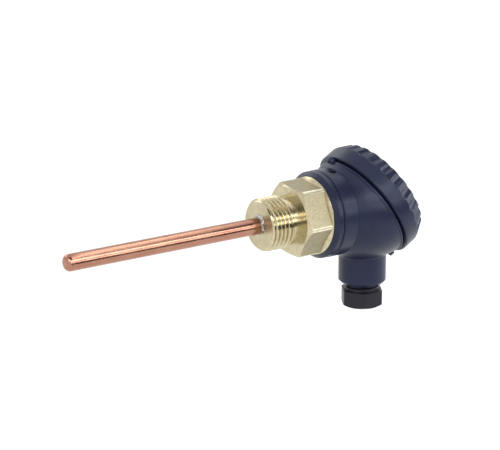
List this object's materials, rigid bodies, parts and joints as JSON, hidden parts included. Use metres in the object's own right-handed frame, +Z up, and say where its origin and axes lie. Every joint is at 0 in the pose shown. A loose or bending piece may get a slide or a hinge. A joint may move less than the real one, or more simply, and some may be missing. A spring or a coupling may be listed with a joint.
{
  "type": "immersion temperature sensor",
  "caption": "Copper immersion pocket soldered in a brass screwed fitting, with a turnable plastic connection head, screwed lid and cable gland.",
  "frame": {"origin": "on the immersion tube's axis, where the process thread reaches its full diameter at its front end", "axes": "+X along the immersion tube from its tip towards the head, +Z up, cable gland pointing down -Z"},
  "size_m": [0.1573, 0.0482, 0.066],
  "materials": {
    "brass": "turned and bright, satin flats on the hexagon",
    "copper": "drawn copper, satin, lightly marked",
    "solder": "bright solder, uneven",
    "head_plastic": "moulded, dark blue-grey, satin",
    "gland_plastic": "moulded, near black, satin",
    "rubber": "matt rubber",
    "screw_steel": "zinc-plated steel",
    "terminal_moulding": "off-white moulded insulator",
    "terminal_brass": "plain brass",
    "tinned_metal": "tinned copper",
    "lead_white": "white insulation",
    "lead_red": "red insulation",
    "sleeve": "woven insulating sleeve",
    "element_case": "white ceramic"
  },
  "bodies": {
    "pocket": {"pocket_body": "brass", "immersion_tube": "copper", "solder_ring": "solder", "neck_ring": "head_plastic", "neck_seal": "rubber"},
    "head": {"head_housing": "head_plastic", "neck_grub_screw": "screw_steel", "terminal_base": "terminal_moulding", "terminal_clamps": "terminal_brass", "terminal_screws": "screw_steel", "base_screws": "screw_steel", "lead_ferrules": "tinned_metal", "lead_wire_left": "lead_white", "lead_wire_right": "lead_red", "lead_grommet": "rubber", "element_sleeve": "sleeve", "sensing_element": "element_case", "gland_seal": "rubber"},
    "lid_carrier": {"lid_seal": "rubber"},
    "lid_cap": {"lid": "head_plastic"},
    "gland_carrier": {"gland_washer": "screw_steel"},
    "gland_nut": {"gland_screw": "gland_plastic"}
  },
  "joints": [
    {"name": "head_turn", "type": "hinge", "parent": "pocket", "child": "head", "pos_m": [0.0319, 0, 0], "axis": [1, 0, 0], "range_deg": [-180, 180]},
    {"name": "lid_rise", "type": "slide", "parent": "head", "child": "lid_carrier", "axis": [0.8572, 0, 0.515], "range_m": [0, 0.0075]},
    {"name": "lid_turn", "type": "hinge", "parent": "lid_carrier", "child": "lid_cap", "pos_m": [0.0493, 0, 0.0004], "axis": [0.8572, 0, 0.515], "range_deg": [0, 1080]},
    {"name": "gland_rise", "type": "slide", "parent": "head", "child": "gland_carrier", "axis": [0, 0, -1], "range_m": [-0.001, 0.006]},
    {"name": "gland_turn", "type": "hinge", "parent": "gland_carrier", "child": "gland_nut", "pos_m": [0.0495, 0, -0.0347], "axis": [0, 0, -1], "range_deg": [-240, 1440]}
  ],
  "couplings": [
    {"joint": "lid_turn", "follows": "lid_rise", "rad_per_m": 2513.3},
    {"joint": "gland_turn", "follows": "gland_rise", "rad_per_m": 4188.8}
  ]
}
